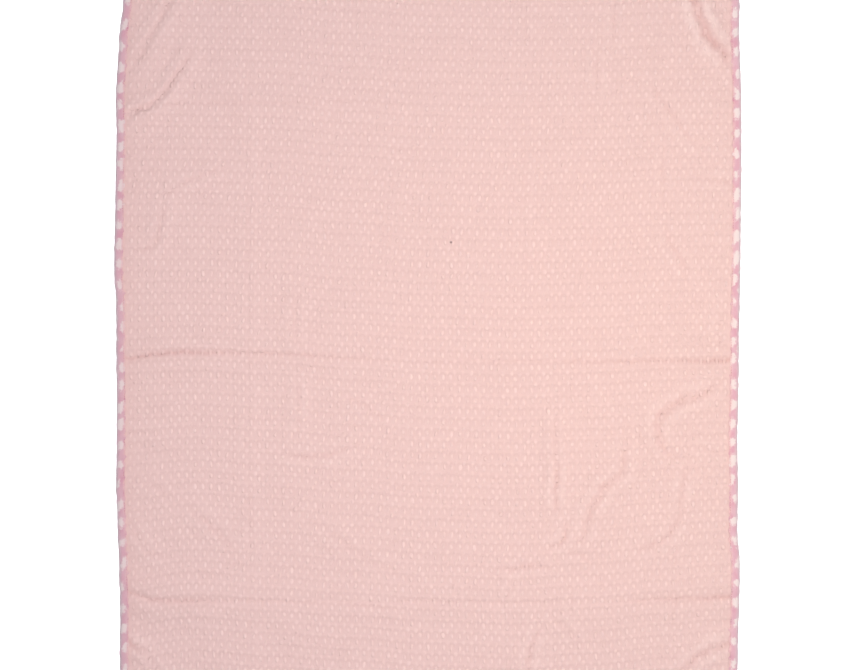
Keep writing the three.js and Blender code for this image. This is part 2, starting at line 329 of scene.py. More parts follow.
# Fine unevenness of the upper face
slack = {"seed": 11, "height": 0.3, "longest": 190, "shortest": 55, "waves": 14}
slackDraw = np.random.RandomState(slack["seed"])
slackWaves = [
    (2 * math.pi / slackDraw.uniform(slack["shortest"], slack["longest"]), slackDraw.uniform(0, 2 * math.pi),
     slackDraw.uniform(0, 2 * math.pi))
    for _ in range(slack["waves"])
]
creaseLine = {
    "depth": 0.9,              # of the sharp line at the bottom of a crease, times a share
    "mostShare": 0.4,
    "swells": (0.8, 2.2),      # the share grows from the first height of swell, over the second
    "reach": 3.2,
    "ease": 0.6,               # a low swell meets the next in a round trough instead
    "easeUpTo": 1.9,
    "easeReach": 7,
}
puckers = {
    "seed": 23, "height": 0.55, "reach": 17, "longest": 26, "shortest": 11, "waves": 6,
    "middle": 0.4,             # of the height
    "swing": 0.6,
    "apart": (977, 431),       # so that no two edges pucker alike
}
puckerDraw = np.random.RandomState(puckers["seed"])
puckerWaves = [
    (2 * math.pi / puckerDraw.uniform(puckers["shortest"], puckers["longest"]), puckerDraw.uniform(0, 2 * math.pi))
    for _ in range(puckers["waves"])
]


def pucker(along):
    # a chance ripple along a seam, about -1 to 1
    return sum(np.sin(rate * along + start) for rate, start in puckerWaves) / math.sqrt(puckers["waves"])


def toEdge(flatX, flatY):
    return np.minimum(halfWidth - np.abs(flatX), halfLength - np.abs(flatY))


def upperFace(flatX, flatY):
    # height of the weave's ground over the cloth's underside
    bound = blanket["boundMargin"]
    inside = toEdge(flatX, flatY) - bound
    wave = sum(np.cos(rate * (np.cos(turn) * flatX + np.sin(turn) * flatY) + start)
               for rate, turn, start in slackWaves)
    height = blanket["ground"] + slack["height"] * (0.5 + wave / math.sqrt(2 * slack["waves"]))
    lowest, span = creaseLine["swells"]
    for crease in creases:
        swell, far = eased(crease["rows"], flatX, 2), flatY - crease["up"]
        depth = creaseLine["depth"] * np.clip((swell - lowest) / span, 0, creaseLine["mostShare"])
        eases = creaseLine["ease"] * swell * np.clip(creaseLine["easeUpTo"] - swell, 0, 1)
        height = height - depth * np.exp(-(far / creaseLine["reach"]) ** 2)
        height = height + eases * np.exp(-(far / creaseLine["easeReach"]) ** 2)
    nearSide = halfWidth - np.abs(flatX) < halfLength - np.abs(flatY)
    apartX, apartY = puckers["apart"]
    along = np.where(nearSide, flatY + np.sign(flatX) * apartX, flatX + np.sign(flatY) * apartY)
    strength = np.exp(-np.maximum(inside, 0) / puckers["reach"])
    height = height + puckers["height"] * strength * (puckers["middle"] + puckers["swing"] * pucker(along))
    share = np.clip(inside / blanket["seamRamp"], 0, 1)
    return blanket["marginTop"] + (height - blanket["marginTop"]) * share


def underFace(flatX, flatY):
    share = np.clip((toEdge(flatX, flatY) - blanket["boundMargin"]) / blanket["seamRamp"], 0, 1)
    return blanket["marginFloor"] * (1 - share)


# The weave's lattice: a tuft at each whole column and row, and a fainter one in between.
# The rows sag and the columns lean as the cloth was pulled about on the table.
weave = {
    "columnPitch": 10.18,
    "rowPitch": 14.34,
    "firstColumn": 7.6,         # a strong tuft stands here, across
    "firstRow": 17.6,           # and here, up
    # (across, how far rows rise near the top, the middle and the bottom)
    "rowRise": [(-388, 13, 16, 9), (-300, 12, 17, 19), (-200, 10, 13, 12.5), (-98, 3, 5.4, 6),
                (4, -2.6, -0.4, -0.6), (106, -5, -3, -4), (208, -3, -0.4, 1), (310, 1, 4, 8.6),
                (361, 2, 4.5, 13), (388, 2, 4.5, 14)],
    # (up, how far columns move to the right near the left side, the middle and the right side)
    "columnLean": [(-388, 4.6, 2.6, 1.6), (-285, 3, 1, 0), (-180, 0, 3.4, 4.4), (-80, 1, 2, 4), (20, 1, 0, 3),
                   (72, 1, 0, 4), (175, 2, 4, 8), (276, 8, 10, 14),
                   (404, 13.4, 15.4, 18.4), (600, 21.5, 23.5, 26.5)],
    "topMiddleBottom": (404, 73, -259),
    "leftMiddleRight": (-300, 4, 260),
}


def blendOfThree(values, places, at):
    # straight from the first of three values to the second and on to the third
    first, second, third = values
    a, b, c = places
    return np.where((at - b) * (c - b) < 0,
                    second + (first - second) * np.clip((at - b) / (a - b), 0, 1.3),
                    second + (third - second) * np.clip((at - b) / (c - b), 0, 1.3))


def weaveShift(laidX, laidY):
    rise = [eased(weave["rowRise"], laidX, column) for column in (1, 2, 3)]
    lean = [eased(weave["columnLean"], laidY, column) for column in (1, 2, 3)]
    return (blendOfThree(lean, weave["leftMiddleRight"], laidX),
            blendOfThree(rise, weave["topMiddleBottom"], laidY))


def weaveOf(laidX, laidY):
    # lattice column and row at a laid point
    shiftX, shiftY = weaveShift(laidX, laidY)
    return ((laidX - shiftX - weave["firstColumn"]) / weave["columnPitch"],
            (laidY - shiftY - weave["firstRow"]) / weave["rowPitch"])


def laidFrom(column, row):
    plainX = weave["firstColumn"] + column * weave["columnPitch"]
    plainY = weave["firstRow"] + row * weave["rowPitch"]
    x, y = plainX, plainY
    for _ in range(6):
        shiftX, shiftY = weaveShift(x, y)
        x, y = plainX + shiftX, plainY + shiftY
    return x, y


# Mesh and node helpers

def inScene(made):
    bpy.context.scene.collection.objects.link(made)
    return made


def guideObject(points, edges=()):
    # bare points or edges for a node tree to grow on
    mesh = bpy.data.meshes.new("guide")
    mesh.from_pydata([tuple(p) for p in points], edges, [])
    return inScene(bpy.data.objects.new("guide", mesh))


def meshObject(name, points, faces, material, uvs=None, smooth=True):
    mesh = bpy.data.meshes.new(name)
    mesh.from_pydata([tuple(p) for p in points], [], faces)
    if uvs is not None:
        layer = mesh.uv_layers.new(name="cloth")
        corner = np.empty(len(mesh.loops), np.int32)
        mesh.loops.foreach_get("vertex_index", corner)
        layer.data.foreach_set("uv", np.asarray(uvs, np.float32)[corner].ravel())
    mesh.polygons.foreach_set("use_smooth", [smooth] * len(mesh.polygons))
    mesh.materials.append(material)
    mesh.update()
    return inScene(bpy.data.objects.new(name, mesh))


def feed(tree, socket, value):
    # a plain value is set on the socket, and another socket is linked to it
    if isinstance(value, (int, float, tuple)):
        socket.default_value = value
    else:
        tree.links.new(value, socket)


def addNode(tree, kind, **settings):
    node = tree.nodes.new(kind)
    for key, value in settings.items():
        if key in node.inputs:
            node.inputs[key].default_value = value
        else:
            setattr(node, key, value)
    return node


def maths(tree, operation, *values):
    node = addNode(tree, "ShaderNodeMath", operation=operation)
    for socket, value in zip(node.inputs, values):
        feed(tree, socket, value)
    return node.outputs[0]


def between(tree, value, low, high):
    return maths(tree, "MINIMUM", maths(tree, "MAXIMUM", value, low), high)


def farOf(tree, across, up):
    squares = (maths(tree, "MULTIPLY", side, side) for side in (across, up))
    return maths(tree, "SQRT", maths(tree, "ADD", *squares))


def mixColor(tree, share, first, second):
    node = addNode(tree, "ShaderNodeMix", data_type="RGBA")
    for name, value in (("Factor_Float", share), ("A_Color", first), ("B_Color", second)):
        feed(tree, next(s for s in node.inputs if s.identifier == name), value)
    return next(s for s in node.outputs if s.identifier == "Result_Color")


def keptValue(tree, key):
    return addNode(tree, "ShaderNodeAttribute", attribute_name=key).outputs["Fac"]


def objectPlace(tree):
    return addNode(tree, "ShaderNodeTexCoord").outputs["Object"]


def splitPlace(tree, place):
    split = addNode(tree, "ShaderNodeSeparateXYZ")
    tree.links.new(place, split.inputs[0])
    return split.outputs


def clothPlace(tree):
    # X and Y on the piece's own UV map
    return splitPlace(tree, addNode(tree, "ShaderNodeUVMap", uv_map="cloth").outputs[0])[:2]


def linear(red, green, blue):
    # a colour as seen on screen, 0 to 255, to the renderer's own values
    return tuple(((c / 255 + 0.055) / 1.055) ** 2.4 for c in (red, green, blue)) + (1.0,)


# Finishes

pique = {
    "ground": (235, 201, 196),
    "hollowShade": (228, 193, 188),     # painted shade in the hollow round each tuft
    "strongHollow": (3.8, 5.5),    # its half width and half length
    "weakHollow": (3.6, 5.0),
    "hollowWidth": 0.36,
    "weakShare": 0.4,
    # painted highlight on the top of each tuft
    "tuftHighlight": (243, 211, 206),
    "creaseShade": (221, 181, 176),    # painted shade, down in a crease
    "lit": (249, 222, 216),        # painted light, on a flank that faces the light
    "cloudy": 0.35,                # how much broad patches differ
    "cloudScale": (30, 85, 70),
    "clearSky": 0.42,              # the share of a cloud's tone that leaves no mark
    "fleck": 0.4,                  # how much single yarns differ
    "groundYarn": (620, 210, 300),
    "tuftYarn": (620, 160, 300),
    "underTuft": 0.15,             # painted shade in the hollow below a tuft, against that above it
    "speck": (110, 72, 74),
    "speckPlace": (29.4, 146.2),
    "speckSize": 2.1,
    "roughness": 0.92,
    "sheen": 0.1,
}


def speckShare(tree):
    # a small dark speck woven into the cloth, as a share from 0 to 1
    here = splitPlace(tree, objectPlace(tree))
    offsets = [maths(tree, "SUBTRACT", at, value * mm) for at, value in zip(here, pique["speckPlace"])]
    share = maths(tree, "SUBTRACT", 1.0, maths(tree, "DIVIDE", farOf(tree, *offsets), pique["speckSize"] * mm))
    return maths(tree, "MAXIMUM", share, 0.0)


def clothMaterial(name, roughness, sheen):
    material = bpy.data.materials.new(name)
    material.use_nodes = True
    shader = material.node_tree.nodes["Principled BSDF"]
    shader.inputs["Roughness"].default_value = roughness
    shader.inputs["Sheen Weight"].default_value = sheen
    shader.inputs["Sheen Roughness"].default_value = 0.6
    shader.inputs["Specular IOR Level"].default_value = 0.15
    return material, material.node_tree, shader


def unevenTone(tree, scale, detail, roughness=0.5):
    # chance differences over the cloth, about 0 to 1
    mapping = addNode(tree, "ShaderNodeMapping", Scale=scale)
    tree.links.new(objectPlace(tree), mapping.inputs["Vector"])
    noise = addNode(tree, "ShaderNodeTexNoise", Scale=1.0, Detail=detail, Roughness=roughness)
    tree.links.new(mapping.outputs[0], noise.inputs["Vector"])
    return noise.outputs["Fac"]


def swayed(tree, scale, detail, swing, middle):
    # the same differences, made larger and set about a middle value
    return maths(tree, "MULTIPLY_ADD", unevenTone(tree, scale, detail), swing, middle - swing / 2)


def fromNearest(tree, place, shift, pitch):
    # signed distance to the nearest tuft of a lattice, in millimetres
    moved = maths(tree, "SUBTRACT", place, shift)
    return maths(tree, "MULTIPLY", maths(tree, "SUBTRACT", moved, maths(tree, "ROUND", moved)), pitch)


def paintedHollowShade(tree, place, shift, half):
    # painted shade in the hollow round each tuft, deepest over its top
    pitches = (weave["columnPitch"], weave["rowPitch"])
    across, up = (maths(tree, "DIVIDE", fromNearest(tree, at, shift, pitch), reach)
                  for at, pitch, reach in zip(place, pitches, half))
    off = maths(tree, "DIVIDE", maths(tree, "SUBTRACT", farOf(tree, across, up), 1.0), pique["hollowWidth"])
    ring = maths(tree, "EXPONENT", maths(tree, "MULTIPLY", maths(tree, "MULTIPLY", off, off), -1.0))
    top = maths(tree, "MAXIMUM", maths(tree, "MULTIPLY_ADD", up, 0.5, 0.5), pique["underTuft"])
    return maths(tree, "MULTIPLY", ring, top)


def yarnBump(tree, shader, scale, strength, distance):
    # fine yarn relief, finer than the tufts
    bump = addNode(tree, "ShaderNodeBump", Strength=strength, Distance=distance)
    tree.links.new(unevenTone(tree, scale, 4.0, 0.65), bump.inputs["Height"])
    tree.links.new(bump.outputs[0], shader.inputs["Normal"])


def withFoldShadeAndLight(tree, tone):
    # the tone with painted shade in folds, painted light on their flanks, and faint clouds over the open cloth
    cloud = unevenTone(tree, pique["cloudScale"], 3.0)
    cloud = maths(tree, "MULTIPLY_ADD", cloud, pique["cloudy"], -pique["clearSky"] * pique["cloudy"])
    share = maths(tree, "ADD", keptValue(tree, "fold"), maths(tree, "MAXIMUM", cloud, 0.0))
    tone = mixColor(tree, maths(tree, "MAXIMUM", share, 0.0), tone, linear(*pique["creaseShade"]))
    lit = maths(tree, "MAXIMUM", maths(tree, "MULTIPLY", share, -1.0), 0.0)
    return mixColor(tree, lit, tone, linear(*pique["lit"]))


def piqueMaterial(name, shareOf, other, bump):
    # ground tone, with another tone by the share that shareOf gives
    material, tree, shader = clothMaterial(name, pique["roughness"], pique["sheen"])
    tone = withFoldShadeAndLight(tree, mixColor(tree, shareOf(tree), linear(*pique["ground"]), linear(*pique[other])))
    tone = mixColor(tree, speckShare(tree), tone, linear(*pique["speck"]))
    tree.links.new(tone, shader.inputs["Base Color"])
    yarnBump(tree, shader, *bump)
    return material


def hollowShadeAndFleck(tree):
    # painted shade in the hollows round the tufts, with random yarn flecks added
    place = clothPlace(tree)
    strong = paintedHollowShade(tree, place, 0.0, pique["strongHollow"])
    weak = maths(tree, "MULTIPLY", paintedHollowShade(tree, place, 0.5, pique["weakHollow"]), pique["weakShare"])
    fleck = maths(tree, "MULTIPLY", unevenTone(tree, pique["groundYarn"], 3.0), pique["fleck"])
    return maths(tree, "ADD", maths(tree, "MAXIMUM", strong, weak), fleck)


def tuftHighlightAndFleck(tree):
    # painted highlight, strongest at each tuft's top, with random yarn flecks taken off
    fleck = maths(tree, "MULTIPLY", unevenTone(tree, pique["tuftYarn"], 3.0), -pique["fleck"])
    return maths(tree, "MULTIPLY_ADD", keptValue(tree, "tone"), keptValue(tree, "rise"), fleck)


# The panel: one thin sheet, finer where the creases run

panelLines = {
    "rowBands": [(-400, 6.6), (460, 3.3), (600, 6.6)],          # up to here, this far apart
    "columnBands": [(-285, 3.0), (70, 4.6), (400, 3.0)],
    "crease": 1.6,
    "creaseReach": 9,
    "underRows": 2,                                             # the underside keeps each second row
    "underColumns": 4,
}


def spread(start, end, spacing):
    return np.linspace(start, end, max(1, round(abs(end - start) / spacing)) + 1)


def panelLinesAlong(half, bands, folds):
    # line places along one way of the cloth
    bound, ramp = blanket["boundMargin"], blanket["seamRamp"]
    edge = half - np.array([blanket["panelInset"], bound * 0.55, bound, bound + ramp * 0.5, bound + ramp])
    stops = [(min(end, edge[-1]), spacing) for end, spacing in bands]
    for fold in folds:
        at = next(i for i, (end, _) in enumerate(stops) if end > fold)
        low, high = fold - panelLines["creaseReach"], fold + panelLines["creaseReach"]
        stops[at:at] = [(low, stops[at][1]), (high, panelLines["crease"])]
    lines = [*(-edge)]
    for end, spacing in stops:
        lines += [*spread(lines[-1], end, spacing)[1:]]
    return np.array([*lines, *edge[::-1][1:]])


def keptUnder(lines, step, folds):
    # which lines the underside keeps: each so many, and all by a crease or an edge
    kept = np.arange(len(lines)) % step == 0
    kept[:5] = kept[-5:] = True
    for fold in folds:
        kept |= np.abs(lines - fold) < panelLines["creaseReach"]
    return np.flatnonzero(kept)


def gridFaces(index):
    a, b, c, d = index[:-1, :-1], index[:-1, 1:], index[1:, 1:], index[1:, :-1]
    return np.stack([a, b, c, d], -1).reshape(-1, 4)


def rimOf(index):
    return np.concatenate([index[0, :-1], index[:-1, -1], index[-1, :0:-1], index[:0:-1, 0]])


def makePanel(material):
    folds = [crease["up"] for crease in creases]
    columns = panelLinesAlong(halfWidth, panelLines["columnBands"], [])
    rows = panelLinesAlong(halfLength, panelLines["rowBands"], folds)
    keptColumns = keptUnder(columns, panelLines["underColumns"], [])
    keptRows = keptUnder(rows, panelLines["underRows"], folds)
    flatX, flatY = np.meshgrid(columns, rows)
    upper = lay(flatX, flatY, upperFace(flatX, flatY))
    underX, underY = flatX[np.ix_(keptRows, keptColumns)], flatY[np.ix_(keptRows, keptColumns)]
    lower = lay(underX, underY, underFace(underX, underY))
    index = np.arange(flatX.size).reshape(flatX.shape)
    underIndex = np.arange(underX.size).reshape(underX.shape) + flatX.size
    faces = gridFaces(index).tolist() + gridFaces(underIndex)[:, ::-1].tolist()
    rim, underRim = rimOf(index), rimOf(underIndex)
    places = np.flatnonzero(np.isin(rim, index[np.ix_(keptRows, keptColumns)]))
    for i, start in enumerate(places):
        end = places[(i + 1) % len(places)] or len(rim)
        strip = [rim[k % len(rim)] for k in range(end, start - 1, -1)]
        faces.append([*strip, underRim[i], underRim[(i + 1) % len(places)]])
    points = np.concatenate([upper.reshape(-1, 3), lower.reshape(-1, 3)])
    uvs = np.stack(weaveOf(points[:, 0], points[:, 1]), -1)
    made = meshObject("piqueSheet", points * mm, faces, material, uvs)
    # painted shade in the folds and painted light on their flanks, for the material
    shades = [shadeOf(flatX, flatY).ravel(), shadeOf(underX, underY).ravel()]
    keepValues(made.data, "fold", np.concatenate(shades))
    return made, (columns, rows, upper[..., 2])


# Tufts: Geometry Nodes stand one small dome on each point of the lattice

tufts = {
    "strong": {"offset": 0.0, "width": 5.0, "length": 9.4, "height": 0.85, "seed": 3, "least": 0.8, "most": 1.9},
    "weak": {"offset": 0.5, "width": 6.0, "length": 7.6, "height": 0.7, "seed": 5, "least": 0.2, "most": 1.2},
    "sink": 0.25,
    "jitter": 0.42,
    "sizeSpread": 0.2,
    "turnSpread": 0.2,
    "sides": 8,
    "roundness": 0.7,          # 1 would leave a straight flank
    "clear": 2.2,              # of the tape's inner edge
    "leastFull": 0.6,          # size of the tufts nearest the tape
    "fullWithin": 6,           # and how far in they reach full size, at that rate
    "spare": (14, 20),         # lattice columns and rows beyond the cloth, for where the weave is pulled in
    "ownShade": 0.4,           # a fold steps from tuft to tuft: the rest is the tuft's mean
}


def tuftGuide(kind):
    # a point for each tuft, level for now, with its turn and size
    chosen = tufts[kind]
    draw = np.random.RandomState(chosen["seed"])
    spareColumns, spareRows = tufts["spare"]
    reachColumns = math.ceil(halfWidth / weave["columnPitch"]) + spareColumns
    reachRows = math.ceil(halfLength / weave["rowPitch"]) + spareRows
    column, row = np.meshgrid(np.arange(-reachColumns, reachColumns + 1), np.arange(-reachRows, reachRows + 1))
    column, row = column.ravel() + chosen["offset"], row.ravel() + chosen["offset"]
    laidX, laidY = laidFrom(column, row)
    laidX = laidX + draw.normal(0, tufts["jitter"], laidX.shape)
    laidY = laidY + draw.normal(0, tufts["jitter"], laidY.shape)
    flatX, flatY = cutFrom(laidX, laidY)
    clear = blanket["boundMargin"] + tufts["clear"]
    inside = toEdge(flatX, flatY) > clear
    flatX, flatY = flatX[inside], flatY[inside]
    here = lay(flatX, flatY, 0)
    here[:, 2] = -tufts["sink"]
    leanAbove, _ = weaveShift(here[:, 0], here[:, 1] + 1)
    leanHere, _ = weaveShift(here[:, 0], here[:, 1])
    least = tufts["leastFull"]
    full = np.clip((toEdge(flatX, flatY) - clear) / tufts["fullWithin"] + least, least, 1)
    guide = guideObject(here * mm)
    keepValues(guide.data, "lean", leanHere - leanAbove)
    keepValues(guide.data, "full", full)
    return guide


def newTree(name, inputs):
    tree = bpy.data.node_groups.new(name, "GeometryNodeTree")
    tree.interface.new_socket("Geometry", in_out="INPUT", socket_type="NodeSocketGeometry")
    for label, kind in inputs:
        tree.interface.new_socket(label, in_out="INPUT", socket_type="NodeSocket" + kind)
    tree.interface.new_socket("Geometry", in_out="OUTPUT", socket_type="NodeSocketGeometry")
    return tree, tree.nodes.new("NodeGroupInput"), tree.nodes.new("NodeGroupOutput")


def vectorOf(tree, x, y, z):
    node = addNode(tree, "ShaderNodeCombineXYZ")
    for socket, value in zip(node.inputs, (x, y, z)):
        feed(tree, socket, value)
    return node.outputs[0]


def storeValue(tree, shape, key, value, domain):
    store = addNode(tree, "GeometryNodeStoreNamedAttribute", data_type="FLOAT", domain=domain, Name=key)
    tree.links.new(shape, store.inputs["Geometry"])
    tree.links.new(value, next(s for s in store.inputs if s.name == "Value"))
    return store.outputs[0]


def guideValue(tree, key):
    return addNode(tree, "GeometryNodeInputNamedAttribute", data_type="FLOAT", Name=key).outputs[0]


def finishTree(tree, given, result, instances):
    # instances made real, smooth and given their material
    shape = instances
    for kind in ("RealizeInstances", "SetShadeSmooth", "SetMaterial"):
        node = addNode(tree, "GeometryNode" + kind)
        tree.links.new(shape, node.inputs[0])
        shape = node.outputs[0]
    tree.links.new(given.outputs["Material"], node.inputs["Material"])
    tree.links.new(shape, result.inputs[0])
    return tree


def tuftTree():
    tree, given, result = newTree("tufts", [
        ("Width", "Float"), ("Length", "Float"), ("Height", "Float"), ("Sides", "Int"),
        ("Size Spread", "Float"), ("Turn Spread", "Float"), ("Least Tone", "Float"), ("Most Tone", "Float"),
        ("Seed", "Int"), ("Material", "Material")])
    link = tree.links.new
    dome = addNode(tree, "GeometryNodeMeshCone", fill_type="TRIANGLE_FAN")
    dome.inputs["Side Segments"].default_value = 2
    dome.inputs["Radius Top"].default_value = 0
    dome.inputs["Radius Bottom"].default_value = 1
    dome.inputs["Depth"].default_value = 1
    link(given.outputs["Sides"], dome.inputs["Vertices"])
    across, up, level = splitPlace(tree, addNode(tree, "GeometryNodeInputPosition").outputs[0])
    # the cone's straight flank swells outwards half way up
    bulge = maths(tree, "ADD", maths(tree, "MULTIPLY", level, maths(tree, "SUBTRACT", 1.0, level)), 1.0)
    shaped = vectorOf(tree, maths(tree, "MULTIPLY", across, bulge), maths(tree, "MULTIPLY", up, bulge),
                      maths(tree, "POWER", level, tufts["roundness"]))
    setPlace = addNode(tree, "GeometryNodeSetPosition")
    # rise: how high up the dome a point is, for the painted highlight on its top
    link(storeValue(tree, dome.outputs["Mesh"], "rise", level, "POINT"), setPlace.inputs["Geometry"])
    link(shaped, setPlace.inputs["Position"])

    def chance(least, most, shift):
        node = addNode(tree, "FunctionNodeRandomValue", data_type="FLOAT")
        ends = [s for s in node.inputs if s.name in ("Min", "Max") and s.type == "VALUE"]
        for socket, value in zip(ends, (least, most)):
            feed(tree, socket, value)
        link(maths(tree, "ADD", given.outputs["Seed"], shift), node.inputs["Seed"])
        return next(s for s in node.outputs if s.type == "VALUE")

    def spreadAround(socket, shift):
        return chance(maths(tree, "MULTIPLY", socket, -1.0), socket, shift)

    def sized(name, share, shift):
        size = maths(tree, "MULTIPLY", given.outputs[name], share)
        size = maths(tree, "MULTIPLY", size, guideValue(tree, "full"))
        own = maths(tree, "ADD", spreadAround(given.outputs["Size Spread"], shift), 1.0)
        return maths(tree, "MULTIPLY", size, own)

    turn = maths(tree, "ADD", guideValue(tree, "lean"), spreadAround(given.outputs["Turn Spread"], 40))
    rotation = addNode(tree, "FunctionNodeEulerToRotation")
    link(vectorOf(tree, 0.0, 0.0, turn), rotation.inputs[0])
    stand = addNode(tree, "GeometryNodeInstanceOnPoints")
    link(given.outputs["Geometry"], stand.inputs["Points"])
    link(setPlace.outputs[0], stand.inputs["Instance"])
    link(rotation.outputs[0], stand.inputs["Rotation"])
    link(vectorOf(tree, sized("Width", 0.5, 10), sized("Length", 0.5, 20), sized("Height", 1.0, 30)),
         stand.inputs["Scale"])
    tone = chance(given.outputs["Least Tone"], given.outputs["Most Tone"], 50)
    return finishTree(tree, given, result, storeValue(tree, stand.outputs[0], "tone", tone, "INSTANCE"))


def grown(name, guide, tree, values):
    # runs a node tree on a guide and keeps its result as a plain mesh
    modifier = guide.modifiers.new("nodes", "NODES")
    modifier.node_group = tree
    for item in tree.interface.items_tree:
        if item.in_out == "INPUT" and item.name in values:
            modifier[item.identifier] = values[item.name]
    seen = guide.evaluated_get(bpy.context.evaluated_depsgraph_get())
    mesh = bpy.data.meshes.new_from_object(seen)
    mesh.name = name
    made = inScene(bpy.data.objects.new(name, mesh))
    bpy.data.objects.remove(guide)
    return made


def heightOn(surface, flatX, flatY):
    # height of the panel's upper face, straight between the points of its grid
    columns, rows, height = surface
    i = np.clip(np.searchsorted(rows, flatY) - 1, 0, len(rows) - 2)
    j = np.clip(np.searchsorted(columns, flatX) - 1, 0, len(columns) - 2)
    up = (flatY - rows[i]) / (rows[i + 1] - rows[i])
    across = (flatX - columns[j]) / (columns[j + 1] - columns[j])
    low = height[i, j] * (1 - across) + height[i, j + 1] * across
    high = height[i + 1, j] * (1 - across) + height[i + 1, j + 1] * across
    return low * (1 - up) + high * up


def makeTufts(kind, tree, material, surface):
    chosen = tufts[kind]
    made = grown(kind + "Tufts", tuftGuide(kind), tree, {
        "Width": chosen["width"] * mm, "Length": chosen["length"] * mm, "Height": chosen["height"] * mm,
        "Sides": tufts["sides"], "Size Spread": tufts["sizeSpread"], "Turn Spread": tufts["turnSpread"],
        "Least Tone": chosen["least"], "Most Tone": chosen["most"], "Seed": chosen["seed"], "Material": material})
    points = np.empty(len(made.data.vertices) * 3, np.float32)
    made.data.vertices.foreach_get("co", points)
    points = points.reshape(-1, 3)
    flatX, flatY = cutFrom(points[:, 0] / mm, points[:, 1] / mm)
    points[:, 2] += mm * heightOn(surface, flatX, flatY)     # each tuft hugs the sheet
    made.data.vertices.foreach_set("co", points.ravel())
    made.data.update()
    # the same painted fold shade and light, stepped from tuft to tuft
    shade = shadeOf(flatX, flatY).reshape(-1, 2 * tufts["sides"] + 2)
    own = tufts["ownShade"]
    keepValues(made.data, "fold", own * shade + (1 - own) * shade.mean(1, keepdims=True))
    return made


# Binding: bias tape folded in four, the section drawn as the one ply's middle line

tape = {
    "ply": 0.34,
    "width": 11.5,
    "topHeight": 3.2,          # of the outer ply's middle line, clear of the stitching
    "stitchHeight": 2.62,      # pressed down where it is stitched
    "stitchLine": 10.2,        # from the outer edge
    "tuckStart": 3.8,          # where the turned-in plies end
    "step": 3.0,
    "wobble": 0.2,             # of the outer edge
    "innerWobble": 1.0,        # of the stitched fold
    "ripple": 0.3,
    "endCalm": 30,             # no ripple or wobble near a corner
    "pink": (225, 181, 191),
    "deepPink": (220, 160, 176),
    "mostDeep": 0.8,
    "patchScale": (90, 60, 60),
    "spot": (239, 221, 218),
    "rim": (200, 186, 191),    # painted shade on the outer edge, which rolls down from the light
    "rimShadeReach": 2.9,
    "rimShadeShare": 0.85,
    "worn": (238, 200, 198),   # by the seam, in patches
    "wornReach": 2.6,
    "wornScale": (160, 130, 90),
    "dim": (150, 104, 116),    # painted shade: what the left strip, turned from the light, tends to
    "spotSpacing": 26.0,       # along the tape
    "spotSize": (9.4, 12.6),   # across the tape and along it, as the bias pulls it
    "spotBlur": 0.55,          # of its half size
    "spotStray": 0.8,          # of the spacing
    "strayScales": ((47, 43, 50), (36, 52, 60)),
    "spotSpread": 1.5,         # how much the spots differ in size
    "sizeScale": (30, 33, 40),
    "ragged": 1.8,             # how uneven their edges are
    "raggedScale": (360, 300, 300),
    "firstSpot": 7.4,
    "spotShift": 31,           # from strip to strip, so that no two match
    "skew": 0.25,              # how the fold pulls the pattern along
    # waves of the pattern across and along the tape: (size, length, turns of the strip's phase)
    "wander": ((2.0, 97, 1), (1.2, 37, 2)),
    "slip": ((1.6, 61, 3), (1.4, 29, 1)),
    "roughness": 0.8,
    "sheen": 0.1,
}


def tapeSection():
    # (distance inwards from the edge, height) round the ply's middle line
    top, press, stitch = tape["topHeight"], tape["stitchHeight"], tape["stitchLine"]
    gap = tape["ply"] + 0.1
    inner = tape["width"] - tape["ply"] / 2
    low = tape["ply"] / 2
    fold = [(inner - 0.22, 0), (inner - 0.06, 0.09), (inner, gap / 2), (inner - 0.06, gap - 0.09),
            (inner - 0.22, gap)]
    upperOut = [(stitch + 0.5, press + 0.02), (stitch, press), (stitch - 0.6, press + 0.06),
                (stitch - 1.6, press + 0.3), (stitch - 3.2, top - 0.08), (5.0, top), (3.9, top - 0.1),
                (2.8, top - 0.42)]
    edge = [(1.8, top - 0.92), (0.95, top - 1.5), (0.4, top - 2.0), (low, 0.85), (0.35, 0.45), (0.85, low + 0.05)]
    lowerOut = [(1.7, low), (4.0, low), (7.0, low), (stitch, low)]
    upperTuck = [(tape["tuckStart"], top - gap - 0.2), (5.0, top - gap), (stitch - 3.2, top - gap - 0.08),
                 (stitch - 1.6, press + 0.3 - gap), (stitch, press - gap)]
    lowerTuck = [(stitch, low + gap), (7.0, low + gap), (tape["tuckStart"], low + gap)]
    upperFold = [(x, press - gap + 0.05 + z) for x, z in fold]
    lowerFold = [(x, low + z) for x, z in fold]
    return np.array(upperTuck + upperFold + upperOut + edge + lowerOut + lowerFold + lowerTuck)


def plyOutline(line):
    # the closed outline of a ply round its middle line, and the distance along the ply of each point
    ahead = np.roll(line, -1, 0) - line
    ahead[-1] = ahead[-2]
    behind = line - np.roll(line, 1, 0)
    behind[0] = behind[1]
    way = ahead / np.linalg.norm(ahead, axis=1)[:, None] + behind / np.linalg.norm(behind, axis=1)[:, None]
    way /= np.linalg.norm(way, axis=1)[:, None]
    side = np.stack([way[:, 1], -way[:, 0]], -1) * tape["ply"] / 2
    travelled = np.concatenate([[0], np.cumsum(np.linalg.norm(np.diff(line, axis=0), axis=1))])
    return (np.concatenate([line + side, (line - side)[::-1]]), np.concatenate([travelled, travelled[::-1]]))


